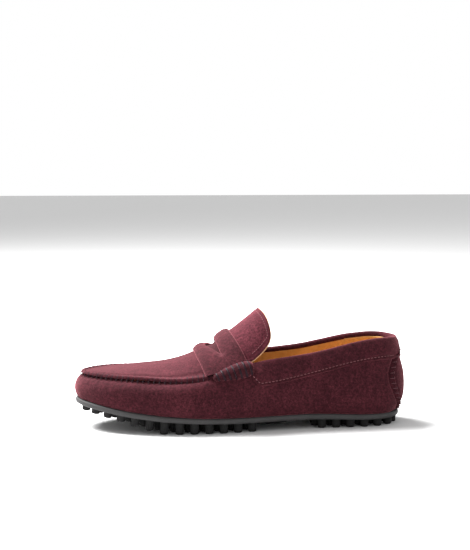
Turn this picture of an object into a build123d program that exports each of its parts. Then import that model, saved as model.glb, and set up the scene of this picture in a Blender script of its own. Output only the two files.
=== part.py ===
"""A left penny loafer in the driving-moccasin style: a suede upper hand-sewn round a raised plug,
a saddle strap with a slot, a lined tongue that flexes, and a studded rubber sole.

Millimetres. The toe points along -X, the heel along +X, the outer (lateral) side along -Y and +Z is
up. The origin is on the floor, under the centre of the shoe's bounding box.
"""

import math
import os
from functools import lru_cache

import numpy as np
from build123d import *

# ---------------------------------------------------------------- driving dimensions
X_TOE = -144.9  # the toe tip of the last in the model frame
Y_MID = 1.6  # the last's own centre line in the model frame

SUEDE = 1.8  # wall, plug, strap and tongue leather
LINING = 1.2
GLUE = 0.06  # bond line between two bonded layers
COUNTER = 0.8  # heel stiffener
BAND = 1.3  # collar band suede, laid over the wall
COLLAR_HEIGHT = 16.5  # collar band, topline to lower edge
WALL_TUCK = 6.0  # the wall stops this far under the topline, inside the collar

RIM = 4.8  # outsole plate thickness
SOLE_LIP = 1.6  # the outsole shows this far beyond the upper
STUD_RADIUS = 3.6
STUD_CHAMFER = 0.7
STUD_BITE = 1.2  # how far a stud runs up into the plate
STUD_PITCH = 12.4
ARCH_PAD = (34.0, 38.0, 5.2)  # length, width and thickness of the plain pad under the waist

BOARD = 1.6
FOAM = 3.0
SOCK = 1.0

CORD = 0.9  # radius of the cord wound round the beef rolls
THREAD = 0.45  # radius of the hand-sewing thread
FINE_THREAD = 0.28  # radius of the machine thread
STAPLE_PITCH = 4.6  # between hand stitches
STITCH_PITCH = 3.2  # between machine stitches
STITCH_LENGTH = 2.3

SINK = 0.6  # the tongue lies this far under the instep line, so it flexes clear of the strap

# ---------------------------------------------------------------- the last, by stations
# Stations run from the heel's centre back along the outer side, round the toe and back along the
# inner side. Each gives the feather line (where upper meets sole), the top line (moccasin seam in
# front, topline behind), and how far the wall bulges beyond a straight line, low and high.
# The first number of a pair is the distance from the toe tip, the second is across.
STATIONS = [
    ((282.5, 0.0), (281.0, 0.0), (7.0, 4.6)),
    ((276.5, -17.5), (276.0, -13.5), (6.5, 4.6)),
    ((260.0, -28.5), (262.5, -22.5), (5.0, 4.2)),
    ((234.0, -32.0), (238.0, -27.5), (4.0, 3.6)),
    ((202.0, -33.0), (206.0, -31.5), (3.6, 3.4)),
    ((168.0, -38.0), (172.0, -35.5), (4.0, 3.8)),
    ((134.0, -45.0), (138.0, -39.5), (4.6, 5.0)),
    ((100.0, -48.0), (104.0, -41.0), (5.0, 6.0)),
    ((68.0, -45.0), (73.0, -37.5), (5.0, 6.0)),
    ((38.0, -36.5), (44.0, -29.5), (4.6, 5.4)),
    ((14.0, -21.5), (21.0, -17.5), (4.2, 4.8)),
    ((3.0, -3.5), (8.5, -3.0), (4.0, 4.5)),
    ((5.0, 14.5), (11.0, 11.5), (4.0, 4.5)),
    ((19.0, 30.0), (25.5, 24.5), (4.2, 4.8)),
    ((46.0, 41.5), (51.0, 34.5), (4.6, 5.4)),
    ((78.0, 45.0), (82.0, 38.0), (4.8, 5.8)),
    ((112.0, 41.5), (116.0, 37.0), (4.6, 5.4)),
    ((146.0, 34.0), (150.0, 34.5), (4.2, 4.6)),
    ((178.0, 30.0), (182.0, 31.5), (3.6, 3.6)),
    ((208.0, 30.0), (212.0, 29.0), (3.6, 3.4)),
    ((236.0, 31.5), (240.0, 26.5), (4.0, 3.6)),
    ((260.0, 28.0), (262.5, 21.5), (5.0, 4.2)),
    ((276.5, 17.0), (276.0, 13.0), (6.5, 4.6)),
]
COUNT = len(STATIONS)
LATERAL_FRONT = 5.5  # station where the lateral topline meets the moccasin seam
MEDIAL_FRONT = 17.3  # and the medial one
LOW, HIGH = 0.30, 0.66  # shares of the wall's height where the two bulges are measured


def smooth(xs, ys):
    """A natural cubic spline y(x) through a few points."""
    xs, ys = np.array(xs, float), np.array(ys, float)
    step = np.diff(xs)
    slope = np.diff(ys) / step
    system = np.eye(len(xs))
    right = np.zeros(len(xs))
    for i in range(1, len(xs) - 1):
        system[i, i - 1 : i + 2] = step[i - 1], 2 * (step[i - 1] + step[i]), step[i]
        right[i] = 6 * (slope[i] - slope[i - 1])
    bend = np.linalg.solve(system, right)

    def value(x):
        i = int(np.clip(np.searchsorted(xs, x) - 1, 0, len(xs) - 2))
        a, b, h = xs[i + 1] - x, x - xs[i], step[i]
        curve = (bend[i] * a**3 + bend[i + 1] * b**3) / (6 * h)
        return curve + (ys[i] / h - bend[i] * h / 6) * a + (ys[i + 1] / h - bend[i + 1] * h / 6) * b

    return value


def ring(values):
    """A smooth closed function of the station number."""
    wrap = 6
    values = list(values)
    curve = smooth(range(-wrap, len(values) + wrap + 1), values[-wrap:] + values + values[: wrap + 1])
    return lambda s: curve(s % len(values))


# heights, and the instep's cross-section, as functions of the distance from the toe
sole_top = smooth(
    [-5, 20, 40, 60, 80, 100, 130, 160, 190, 220, 250, 290],
    [27.0, 23.2, 19.8, 17.2, 15.2, 13.9, 12.8, 12.6, 12.9, 12.4, 11.2, 11.4],
)
instep_height = smooth(
    [0, 16, 40, 65, 90, 110, 135, 158, 180],
    [47.5, 48.6, 51.2, 54.2, 58.5, 67.0, 82.5, 100.5, 118.0],
)
instep_curl = smooth(
    [0, 20, 50, 90, 105, 120, 138, 150, 165, 180],
    [0.002, 0.003, 0.0048, 0.008, 0.0107, 0.015, 0.0205, 0.027, 0.0385, 0.054],
)
instep_centre = smooth([0, 50, 100, 150, 200], [4.0, 2.5, -1.0, -2.0, -1.5])
topline_height = smooth([150, 172, 206, 238, 262.5, 281], [60.5, 61.5, 66.0, 72.8, 76.0, 75.6])


def instep(d, y):
    """Height of the plug's and tongue's outer face, d from the toe and y across."""
    return instep_height(d) - instep_curl(d) * (y - instep_centre(d)) ** 2


def top_height(number, top):
    behind = number < LATERAL_FRONT or number > MEDIAL_FRONT
    return topline_height(top[0]) if behind else instep(*top)


feather_d = ring(foot[0] for foot, _, _ in STATIONS)
feather_y = ring(foot[1] for foot, _, _ in STATIONS)
top_d = ring(top[0] for _, top, _ in STATIONS)
top_y = ring(top[1] for _, top, _ in STATIONS)
top_z = ring(top_height(i, top) for i, (_, top, _) in enumerate(STATIONS))
bulge_low = ring(bulge[0] for _, _, bulge in STATIONS)
bulge_high = ring(bulge[1] for _, _, bulge in STATIONS)


def place(d, y, z=0.0):
    """A point d behind the toe tip and y off the last's centre line, in the model frame."""
    return np.array([X_TOE + d, Y_MID + y, z])


def outward(s):
    """Unit vector in plan, square to the feather line."""
    e = 1e-3
    dx = feather_d(s + e) - feather_d(s - e)
    dy = feather_y(s + e) - feather_y(s - e)
    return np.array([-dy, dx, 0.0]) / math.hypot(dx, dy)


@lru_cache(maxsize=None)
def section(s):
    """Four points up the wall's outer face at a station."""
    foot = place(feather_d(s), feather_y(s), sole_top(feather_d(s)) + GLUE)
    head = place(top_d(s), top_y(s), top_z(s))
    low = foot + (head - foot) * LOW + outward(s) * bulge_low(s)
    high = foot + (head - foot) * HIGH + outward(s) * bulge_high(s)
    return foot, low, high, head


def wall_point(s, t):
    """The wall's outer face: s is the station and t runs from the feather line to the top line."""
    knots = (0.0, LOW, HIGH, 1.0)
    total = np.zeros(3)
    for i, point in enumerate(section(s)):
        others = [k for j, k in enumerate(knots) if j != i]
        total = total + point * math.prod((t - k) / (knots[i] - k) for k in others)
    return total


def wall_normal(s, t):
    e = 1e-3
    along = wall_point(s + e, t) - wall_point(s - e, t)
    up = wall_point(s, t + e) - wall_point(s, t - e)
    out = np.cross(up, along)
    return out / np.linalg.norm(out)


def wall_offset(s, t, out):
    """A point this far outside the wall's outer face, or inside it where out is negative."""
    return wall_point(s, t) + wall_normal(s, t) * out


def wall_height(s):
    return top_z(s) - sole_top(feather_d(s))


def below_top(s, drop):
    """The t of the point this far below the top line."""
    return 1 - drop / wall_height(s)


def wall_sheet(stops, t_ends, out, thickness, rows=9):
    """Sheets parallel to the wall, between neighbouring stations of stops. t_ends gives both heights
    at a station, out is how far the sheet's outer face is outside the wall's."""
    for first, last in zip(stops, stops[1:]):
        grid = []
        for s in np.linspace(first, last, max(6, round(5 * (last - first)) + 1)):
            low, high = t_ends(s % COUNT)
            grid.append([tuple(wall_offset(s, t, out)) for t in np.linspace(low, high, rows)])
        face = Face.make_surface_from_array_of_points(grid, tol=0.01, min_deg=3, max_deg=3)
        thicken(face, amount=thickness)


def instep_point(d, y, lift=0.0):
    """A point this far above the instep, and the instep's normal there."""
    e = 1e-3
    slope_d = (instep(d + e, y) - instep(d - e, y)) / (2 * e)
    slope_y = (instep(d, y + e) - instep(d, y - e)) / (2 * e)
    up = np.array([-slope_d, -slope_y, 1.0]) / math.sqrt(1 + slope_d**2 + slope_y**2)
    return place(d, y, instep(d, y)) + up * lift, up


def instep_face(d_ends, half_width, lift, columns=28, rows=17):
    """A face parallel to the instep and this far above it."""
    grid = []
    for d in np.linspace(*d_ends, columns):
        offsets = np.linspace(-half_width, half_width, rows) + instep_centre(d)
        grid.append([tuple(instep_point(d, y, lift)[0]) for y in offsets])
    return Face.make_surface_from_array_of_points(grid, tol=0.005)


def inset_outline(inset):
    """Points round the feather line, moved in by inset, for a closed Spline."""
    points = []
    for s in np.arange(0, COUNT, 0.5):
        x, y, _ = place(feather_d(s), feather_y(s)) - outward(s) * inset
        points.append((x, y))
    return points


def side_curve(drop):
    """The sole's side view, this far under its top face, from beyond the toe to beyond the heel."""
    stops = [-5, 20, 40, 60, 80, 100, 130, 160, 190, 220, 250, 290]
    return [(X_TOE + d, sole_top(d) - drop) for d in stops]


def rocker_layer(inset, low, high):
    """A sheet that follows the sole's rocker: low and high are heights over the sole's top face."""
    with BuildPart() as layer:
        with BuildSketch(Plane.XY):
            with BuildLine():
                Spline(*inset_outline(inset), periodic=True)
            make_face()
        extrude(amount=60)
        with BuildSketch(Plane.XZ):
            with BuildLine():
                bottom = Spline(*side_curve(-low))
                top = Spline(*side_curve(-high))
                Line(bottom @ 0, top @ 0)
                Line(bottom @ 1, top @ 1)
            make_face()
        extrude(amount=80, both=True, mode=Mode.INTERSECT)
    return layer.part


def along_ring(point, first, last, pitch):
    """Stations spaced evenly along the curve point(s), about a pitch apart, half a pitch in from both ends."""
    stations = np.linspace(first, last, 400)
    points = [point(s) for s in stations]
    lengths = np.cumsum([0] + [np.linalg.norm(b - a) for a, b in zip(points, points[1:])])
    count = max(1, round(lengths[-1] / pitch))
    wanted = (np.arange(count) + 0.5) * lengths[-1] / count
    return [float(s) for s in np.interp(wanted, lengths, stations)]


def staple(start, crown, end):
    """A hand stitch: a thread that leaves the leather at start, humps over and goes in at end."""
    with BuildPart() as piece:
        with BuildLine() as path:
            ThreePointArc(tuple(start), tuple(crown), tuple(end))
        with BuildSketch(Plane(origin=path.line @ 0, z_dir=path.line % 0)):
            Circle(THREAD)
        sweep(path=path.line)
    return piece.part


def machine_row(point, first, last):
    """Machine stitches, half sunk in the leather, along the curve point(s)."""
    stitches = []
    for s in along_ring(point, first, last, STITCH_PITCH):
        middle = point(s)
        run = point(s + 0.01) - point(s - 0.01)
        with BuildPart(Plane(origin=tuple(middle), z_dir=tuple(run))) as piece:
            Cylinder(FINE_THREAD, STITCH_LENGTH)
        stitches.append(piece.part)
    return stitches


def finish(builder, name):
    """Labels a finished piece and writes it."""
    builder.part.label = name
    export_step(builder.part, f"parts/{name}.step")
    return builder.part


os.makedirs("parts", exist_ok=True)

# ---------------------------------------------------------------- outsole, one rubber moulding
FOREPART = (7.0, 152.0)  # the two stretches of the sole that carry studs, from the toe tip
HEEL = (203.0, 279.0)


def studded(d):
    return FOREPART[0] < d < FOREPART[1] or HEEL[0] < d < HEEL[1]


def stud_spots():
    """Plan positions, as distance from the toe and across: a row along the edge, then a grid inside it."""
    def edge(s, inset):
        return np.array([feather_d(s), feather_y(s), 0.0]) - outward(s) * inset

    spots = []
    for s in along_ring(lambda s: edge(s, 4.2), 0, COUNT, STUD_PITCH):
        d, y, _ = edge(s, 4.2)
        if studded(d):
            spots.append((d, y))
    bounds = [edge(s, 15.5) for s in np.linspace(0, COUNT, 300)]
    for d in np.arange(22.0, 275.0, STUD_PITCH):
        near = [b[1] for b in bounds if abs(b[0] - d) < 4]
        if not near or not studded(d):
            continue
        low, high = min(near), max(near)
        for y in np.linspace(low, high, round((high - low) / STUD_PITCH) + 1):
            spots.append((d, y))
    return spots


def stud_stance(d, y):
    """A stud's foot, the way it stands and its length: square to the rocker at the toe, and long enough
    to reach the floor where the sole is flat."""
    under = sole_top(d) - RIM
    length = min(under, float(np.interp(d, [15.0, 45.0, 78.0], [4.2, 5.6, 10.8])))
    if length > under - 0.05:
        return Location(tuple(place(d, y, 0))), under
    tilt = math.atan2(sole_top(d + 0.5) - sole_top(d - 0.5), 1.0)
    down = np.array([math.sin(tilt), 0, -math.cos(tilt)])
    return Location(Plane(origin=tuple(place(d, y, under) + down * length), z_dir=tuple(-down))), length


def stud(length):
    """A round stud with a bevelled foot, standing on the origin and biting into the plate."""
    with BuildPart() as piece:
        with BuildSketch(Plane.XZ):
            with BuildLine():
                Polyline(
                    (0, 0),
                    (STUD_RADIUS - STUD_CHAMFER, 0),
                    (STUD_RADIUS, STUD_CHAMFER),
                    (STUD_RADIUS, length + STUD_BITE),
                    (0, length + STUD_BITE),
                    close=True,
                )
            make_face()
        revolve(axis=Axis.Z)
    return piece.part


with BuildPart() as outsole:
    add(rocker_layer(-SOLE_LIP, -RIM, 0))
    studs = []
    for spot in stud_spots():
        location, stud_length = stud_stance(*spot)
        studs.append(stud(stud_length).moved(location))
    add(studs)
    pad_x, pad_y, _ = place(170.0, -3.0)
    with BuildSketch(Plane.XY.offset(sole_top(170.0) - RIM - ARCH_PAD[2])):
        with Locations((pad_x, pad_y)):
            Ellipse(ARCH_PAD[0] / 2, ARCH_PAD[1] / 2)
    extrude(amount=ARCH_PAD[2] + 1.0)
finish(outsole, "outsole")

# ---------------------------------------------------------------- insole, three bonded layers
layers = GLUE + BOARD
with BuildPart() as insole_board:
    add(rocker_layer(4.6, GLUE, layers))
finish(insole_board, "insole_board")

with BuildPart() as footbed_foam:
    add(rocker_layer(4.2, layers + GLUE, layers + GLUE + FOAM))
finish(footbed_foam, "footbed_foam")

layers = layers + 2 * GLUE + FOAM
with BuildPart() as sock_liner:
    add(rocker_layer(3.7, layers, layers + SOCK))
finish(sock_liner, "sock_liner")

# ---------------------------------------------------------------- the wall and the heel patch
leaf = smooth(
    [9, 12, 15, 20, 26, 33, 40, 46, 52, 58, 64, 68, 72, 80],
    [7.5, 9.0, 11.5, 17.0, 22.0, 25.0, 26.0, 25.2, 22.5, 18.0, 11.5, 6.5, 2.2, 0.0],
)


def leaf_block(grow):
    """The heel patch's outline as a block through the back of the heel, this much bigger all round."""
    heights = [5, 9, 12, 15, 19, 23, 29, 36, 41, 46, 51, 56, 60, 64, 68, 71]
    edge = [(leaf(z) + grow, z) for z in heights]
    with BuildPart() as block:
        with BuildSketch(Plane.YZ.offset(X_TOE + 235)):
            with BuildLine():
                left = Spline(*[(Y_MID - y, z) for y, z in edge])
                right = Spline(*[(Y_MID + y, z) for y, z in edge])
                Line(left @ 0, right @ 0)
                Line(left @ 1, right @ 1)
            make_face()
        extrude(amount=70)
    return block.part


def wall_top(s):
    """Where the wall's own top edge runs: at the seam in front, tucked into the collar behind."""
    behind = max(LATERAL_FRONT + 0.1 - s, s - (MEDIAL_FRONT - 0.1))
    share = min(max(behind / 0.5, 0.0), 1.0)
    return below_top(s, WALL_TUCK * share * share * (3 - 2 * share))


BUTT = 0.012  # stations left open at the centre back, where two ends butt



def wall_section(s):
    """The wall strip's closed cross-section at a station."""
    heights = np.linspace(0.0, wall_top(s), 7)
    outer = [Vector(*wall_offset(s, t, 0.0)) for t in heights]
    inner = [Vector(*wall_offset(s, t, -SUEDE)) for t in heights[::-1]]
    over = Edge.make_line(outer[-1], inner[0])
    under = Edge.make_line(inner[-1], outer[0])
    return Wire([Edge.make_spline(outer), over, Edge.make_spline(inner), under])


with BuildPart() as vamp_wall:
    add(Solid.make_loft([wall_section(s) for s in np.linspace(BUTT, COUNT - BUTT, 47)]))
    add(leaf_block(0.15), mode=Mode.SUBTRACT)
finish(vamp_wall, "vamp_wall")

with BuildPart() as heel_patch:
    wall_sheet((-2.5, 2.5), lambda s: (0.0, wall_top(s)), 0.0, SUEDE)
    add(leaf_block(0.0), mode=Mode.INTERSECT)
finish(heel_patch, "heel_patch")

# ---------------------------------------------------------------- collar
BAND_FRONT_LATERAL = 5.56  # stations where the bands meet the beef rolls
BAND_FRONT_MEDIAL = 17.14


def band_span(s):
    return below_top(s, COLLAR_HEIGHT), 1.0


with BuildPart() as collar_band_lateral:
    wall_sheet((BUTT, BAND_FRONT_LATERAL), band_span, GLUE + BAND, BAND, 7)
    add(leaf_block(0.15), mode=Mode.SUBTRACT)
finish(collar_band_lateral, "collar_band_lateral")

with BuildPart() as collar_band_medial:
    wall_sheet((BAND_FRONT_MEDIAL, COUNT - BUTT), band_span, GLUE + BAND, BAND, 7)
    add(leaf_block(0.15), mode=Mode.SUBTRACT)
finish(collar_band_medial, "collar_band_medial")

with BuildPart() as collar_padding:
    ends = MEDIAL_FRONT + 0.35 - COUNT, LATERAL_FRONT - 0.35
    wall_sheet(ends, lambda s: (wall_top(s) + 0.4 / wall_height(s), 1.0), 0.0, SUEDE, 5)
finish(collar_padding, "collar_padding")

# ---------------------------------------------------------------- inner layers
UNDER_WALL = SUEDE + GLUE
HEEL_REACH = 3.0  # stations covered by the counter, each way from the centre back

with BuildPart() as heel_counter:
    wall_sheet((-HEEL_REACH, HEEL_REACH), lambda s: (0.01, 0.93), -UNDER_WALL, COUNTER)
finish(heel_counter, "heel_counter")

with BuildPart() as heel_grip:
    ends = -HEEL_REACH - 0.04, HEEL_REACH + 0.04
    wall_sheet(ends, lambda s: (0.01, 1.0), -UNDER_WALL - COUNTER - GLUE, LINING)
finish(heel_grip, "heel_grip")

with BuildPart() as quarter_lining_lateral:
    wall_sheet((HEEL_REACH + 0.08, LATERAL_FRONT), lambda s: (0.01, 1.0), -UNDER_WALL, LINING)
finish(quarter_lining_lateral, "quarter_lining_lateral")

with BuildPart() as quarter_lining_medial:
    ends = MEDIAL_FRONT, COUNT - HEEL_REACH - 0.08
    wall_sheet(ends, lambda s: (0.01, 1.0), -UNDER_WALL, LINING)
finish(quarter_lining_medial, "quarter_lining_medial")

with BuildPart() as vamp_lining:
    ends = LATERAL_FRONT + 0.03, 11.4, MEDIAL_FRONT - 0.03
    wall_sheet(ends, lambda s: (0.01, below_top(s, 4.2)), -UNDER_WALL, LINING)
finish(vamp_lining, "vamp_lining")

# ---------------------------------------------------------------- plug, strap and tongue
STRAP_HALF = 45.0


def seam_outline(inset):
    """Points round the top line, moved in by inset, for a closed Spline."""
    e = 1e-3
    points = []
    for s in np.arange(0, COUNT, 0.5):
        dx = top_d(s + e) - top_d(s - e)
        dy = top_y(s + e) - top_y(s - e)
        across = np.array([-dy, dx, 0.0]) / math.hypot(dx, dy)
        x, y, _ = place(top_d(s), top_y(s)) - across * inset
        points.append((x, y))
    return points


def cross_line(centre, sweep, half, offset=0.0):
    """Points of a line across the instep that bows back towards the sides."""
    points = []
    for y in np.linspace(-STRAP_HALF, STRAP_HALF, 13):
        x, across, _ = place(centre + sweep * (y / half) ** 2 + offset, y - 1.5)
        points.append((x, across))
    return points


def instep_piece(inset, front, rear, lift, thickness):
    """A sheet on the instep between two cross lines, trimmed to the seam outline moved in by inset."""
    with BuildPart() as piece:
        thicken(instep_face((2.0, 172.0), 48.0, lift), amount=-thickness)
        with BuildSketch(Plane.XY.offset(20)):
            with BuildLine():
                Spline(*seam_outline(inset), periodic=True)
            make_face()
        extrude(amount=110, mode=Mode.INTERSECT)
        with BuildSketch(Plane.XY.offset(20)):
            with BuildLine():
                fore = Spline(*front)
                aft = Spline(*rear)
                Line(fore @ 0, aft @ 0)
                Line(fore @ 1, aft @ 1)
            make_face()
        extrude(amount=110, mode=Mode.INTERSECT)
    return piece.part


nose = [(x - 130, y) for x, y in cross_line(103.0, 0.0, 34.0)]
with BuildPart() as plug:
    add(instep_piece(2.15, nose, cross_line(123.5, 4.0, 27.0), 0.0, SUEDE))
finish(plug, "plug")

with BuildPart() as plug_lining:
    add(instep_piece(3.2, nose, cross_line(123.0, 4.0, 27.0), -SUEDE - GLUE, LINING))
finish(plug_lining, "plug_lining")

SLOT_REACH = 27.0  # half the slot's length across the instep
SLOT_HALF = 4.3  # half its width at the middle


def slot_line(side):
    """Points of the slot's front (-1) or rear (1) edge."""
    points = []
    for y in np.linspace(-SLOT_REACH, SLOT_REACH, 15):
        share = abs(y) / SLOT_REACH
        width = SLOT_HALF * (1 - share**1.6)
        x, across, _ = place(117.3 + 7.7 * share**2 + side * width, y - 1.5)
        points.append((x, across))
    return points


with BuildPart() as saddle_strap:
    add(instep_piece(0.3, cross_line(103.0, 5.5, 34.0), cross_line(134.0, 12.0, 36.5), GLUE + SUEDE, SUEDE))
    with BuildSketch(Plane.XY.offset(20)):
        with BuildLine():
            Spline(*slot_line(-1))
            Spline(*slot_line(1))
        make_face()
    extrude(amount=110, mode=Mode.SUBTRACT)
finish(saddle_strap, "saddle_strap")

# the tongue's free edge, from its base on the lateral side round the tip: distance from the toe and
# half the width there
TONGUE_EDGE = [
    (142.5, 31.5),
    (149.0, 31.5),
    (155.5, 30.6),
    (161.0, 28.4),
    (164.8, 25.0),
    (166.0, 20.5),
    (163.8, 14.5),
    (160.6, 8.5),
    (158.6, 3.5),
    (158.2, 0.0),
]


def tongue_outline(inset):
    """The free edge, moved in by inset, from the lateral base corner to the medial one."""
    half = [np.array([d, -y]) for d, y in TONGUE_EDGE]
    points = half + [p * (1, -1) for p in half[-2::-1]]
    moved = []
    for i, point in enumerate(points):
        run = points[min(i + 1, len(points) - 1)] - points[max(i - 1, 0)]
        d, y = point + np.array([-run[1], run[0]]) / np.hypot(*run) * inset
        moved.append((d, y - 2.0))
    return moved


def tongue_piece(inset, lift, thickness):
    with BuildPart() as piece:
        thicken(instep_face((126.0, 172.0), 38.0, lift, 24), amount=-thickness)
        edge = [tuple(place(d, y)[:2]) for d, y in tongue_outline(inset)]
        base = [p for p in cross_line(132.0, 12.0, 36.5, inset / 2) if edge[0][1] < p[1] < edge[-1][1]]
        with BuildSketch(Plane.XY.offset(20)):
            with BuildLine():
                Spline(*edge)
                Spline(edge[0], *base, edge[-1])
            make_face()
        extrude(amount=110, mode=Mode.INTERSECT)
    return piece.part


with BuildPart() as tongue:
    add(tongue_piece(0.0, -SINK, SUEDE))
finish(tongue, "tongue")

with BuildPart() as tongue_lining:
    add(tongue_piece(0.6, -SINK - SUEDE - GLUE, LINING))
finish(tongue_lining, "tongue_lining")

# ---------------------------------------------------------------- beef rolls and their cords
ROLLS = {"lateral": (5.62, 6.55), "medial": (17.06, 16.13)}  # rear and front stations
ROLL_DROP = 3.6  # the roll's middle lies this far under the seam
ROLL_RADII = [4.9, 6.5, 6.7, 6.2, 5.3, 4.3, 2.6]  # half heights from the rear end to the front
ROLL_PUFF = 0.72  # how far it stands out, against its half height


def roll_plane(s, rear, front):
    """The roll's cross-section plane at a station: x up the wall, z along the seam."""
    t = below_top(s, ROLL_DROP)
    step = 0.02 * (1 if front > rear else -1)
    run = wall_point(s + step, t) - wall_point(s - step, t)
    out = wall_normal(s, t)
    up = np.cross(out, run) * (1 if front < rear else -1)
    return Plane(origin=tuple(wall_offset(s, t, 0.15)), x_dir=tuple(up), z_dir=tuple(run)), out


def roll_radius(s, rear, front):
    return smooth(np.linspace(rear, front, len(ROLL_RADII)) * (1 if front > rear else -1), ROLL_RADII)(
        s * (1 if front > rear else -1)
    )


def bow(plane, out, radius, grow):
    """A half ellipse on the roll's section, from low on the wall over the roll to its top."""
    outward_y = 1 if plane.y_dir.dot(Vector(*out)) > 0 else -1
    points = []
    for angle in np.linspace(-90, 90, 9):
        a = math.radians(angle)
        points.append(((radius + grow) * math.sin(a), outward_y * (radius * ROLL_PUFF + grow) * math.cos(a)))
    return points


def beef_roll(rear, front):
    with BuildPart() as roll:
        for s in np.linspace(rear, front, 7):
            plane, out = roll_plane(s, rear, front)
            arc = bow(plane, out, roll_radius(s, rear, front), 0.0)
            with BuildSketch(plane):
                with BuildLine():
                    Spline(*arc)
                    Line(arc[0], arc[-1])
                make_face()
        loft()
    return roll.part


def cord_wraps(rear, front):
    with BuildPart() as wraps:
        for s in np.linspace(rear, front, 9)[1:-1]:
            plane, out = roll_plane(s, rear, front)
            arc = bow(plane, out, roll_radius(s, rear, front), CORD / 3)
            with BuildLine(plane) as path:
                Spline(*arc)
            start = path.line @ 0
            with BuildSketch(Plane(origin=start, z_dir=path.line % 0)):
                Circle(CORD)
            sweep(path=path.line)
    return wraps.part


with BuildPart() as beef_roll_lateral:
    add(beef_roll(*ROLLS["lateral"]))
finish(beef_roll_lateral, "beef_roll_lateral")

with BuildPart() as beef_roll_medial:
    add(beef_roll(*ROLLS["medial"]))
finish(beef_roll_medial, "beef_roll_medial")

with BuildPart() as beef_roll_cord_lateral:
    add(cord_wraps(*ROLLS["lateral"]))
finish(beef_roll_cord_lateral, "beef_roll_cord_lateral")

with BuildPart() as beef_roll_cord_medial:
    add(cord_wraps(*ROLLS["medial"]))
finish(beef_roll_cord_medial, "beef_roll_cord_medial")

# ---------------------------------------------------------------- hand stitches
def seam_staple(s):
    """A stitch over the moccasin seam: out of the wall's side, over both raised edges, into the plug."""
    side = wall_offset(s, below_top(s, 2.0), -0.3)
    crown = wall_point(s, 1.0) + np.array([0.0, 0.0, 1.1])
    e = 1e-3
    run = np.array([top_d(s + e) - top_d(s - e), top_y(s + e) - top_y(s - e)])
    inside = np.array([top_d(s), top_y(s)]) - np.array([-run[1], run[0]]) / np.hypot(*run) * 4.2
    return staple(side, crown, instep_point(*inside, -0.3)[0])


with BuildPart() as moc_seam_thread:
    add([seam_staple(s) for s in along_ring(lambda s: wall_point(s, 1.0), 6.62, 16.06, STAPLE_PITCH)])
finish(moc_seam_thread, "moc_seam_thread")


def leaf_station(side, height):
    """The station where the heel patch's edge crosses a height; side is 1 lateral, -1 medial."""
    near, far = 0.0, 2.6
    for _ in range(30):
        s = (near + far) / 2
        t = (height - sole_top(feather_d(s))) / wall_height(s)
        if abs(wall_point(side * s % COUNT, t)[1] - Y_MID) < leaf(height):
            near = s
        else:
            far = s
    return near, t


def leaf_point(side, height, reach=0.0, out=0.0):
    """A point off the patch's edge: reach is along the leather towards the wall, out is outward."""
    s, t = leaf_station(side, height)
    stretch = np.linalg.norm(wall_point(s + 0.05, t) - wall_point(s - 0.05, t)) / 0.1
    return wall_offset(side * (s + reach / stretch) % COUNT, t, out)


def heel_staples(side):
    stitches = []
    for height in along_ring(lambda z: leaf_point(side, z), 14.0, 66.0, STAPLE_PITCH):
        over_band = GLUE + BAND if height > 59.0 else 0.0
        start = leaf_point(side, height, -1.6, -0.3)
        crown = leaf_point(side, height, 0.0, 0.9 + over_band)
        stitches.append(staple(start, crown, leaf_point(side, height, 1.7, over_band - 0.3)))
    return stitches


with BuildPart() as heel_seam_thread_lateral:
    add(heel_staples(1))
finish(heel_seam_thread_lateral, "heel_seam_thread_lateral")

with BuildPart() as heel_seam_thread_medial:
    add(heel_staples(-1))
finish(heel_seam_thread_medial, "heel_seam_thread_medial")

# ---------------------------------------------------------------- machine stitches
STITCH_INSET = 2.0  # the collar's stitch row, in from the band's lower edge
TONGUE_STITCH_INSET = 2.7


def collar_row(s):
    return wall_offset(s, below_top(s, COLLAR_HEIGHT - STITCH_INSET), GLUE + BAND)


with BuildPart() as collar_stitch_lateral:
    add(machine_row(collar_row, 1.22, BAND_FRONT_LATERAL))
finish(collar_stitch_lateral, "collar_stitch_lateral")

with BuildPart() as collar_stitch_medial:
    add(machine_row(collar_row, BAND_FRONT_MEDIAL, COUNT - 1.22))
finish(collar_stitch_medial, "collar_stitch_medial")

row = tongue_outline(TONGUE_STITCH_INSET)
row_d = smooth(range(len(row)), [d for d, _ in row])
row_y = smooth(range(len(row)), [y for _, y in row])
with BuildPart() as tongue_stitch:
    add(machine_row(lambda i: instep_point(row_d(i), row_y(i), -SINK)[0], 0.3, len(row) - 1.3))
finish(tongue_stitch, "tongue_stitch")
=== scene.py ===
import math

import bmesh
import bpy
import numpy as np
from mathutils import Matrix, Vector


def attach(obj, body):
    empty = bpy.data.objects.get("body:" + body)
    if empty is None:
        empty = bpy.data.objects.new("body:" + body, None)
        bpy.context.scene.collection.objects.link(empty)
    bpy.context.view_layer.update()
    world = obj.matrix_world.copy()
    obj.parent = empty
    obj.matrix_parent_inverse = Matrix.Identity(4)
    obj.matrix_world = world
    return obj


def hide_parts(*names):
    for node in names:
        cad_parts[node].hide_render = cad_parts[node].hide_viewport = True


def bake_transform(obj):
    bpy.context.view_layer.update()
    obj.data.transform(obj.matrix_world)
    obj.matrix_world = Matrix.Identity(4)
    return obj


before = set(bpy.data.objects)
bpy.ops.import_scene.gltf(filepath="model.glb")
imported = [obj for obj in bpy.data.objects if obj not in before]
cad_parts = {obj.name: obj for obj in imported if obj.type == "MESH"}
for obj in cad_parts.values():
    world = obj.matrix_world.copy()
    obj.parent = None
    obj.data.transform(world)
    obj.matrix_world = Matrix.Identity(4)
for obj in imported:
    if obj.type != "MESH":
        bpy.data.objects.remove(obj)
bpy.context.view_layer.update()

# All shapes below are worked out in millimetres in the record's frame (toe -X, outer side -Y, up +Z)
# and turned to metres when the mesh is made. "d" is the distance behind the toe tip.
X_TOE = -144.9
Y_MID = 1.6

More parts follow.
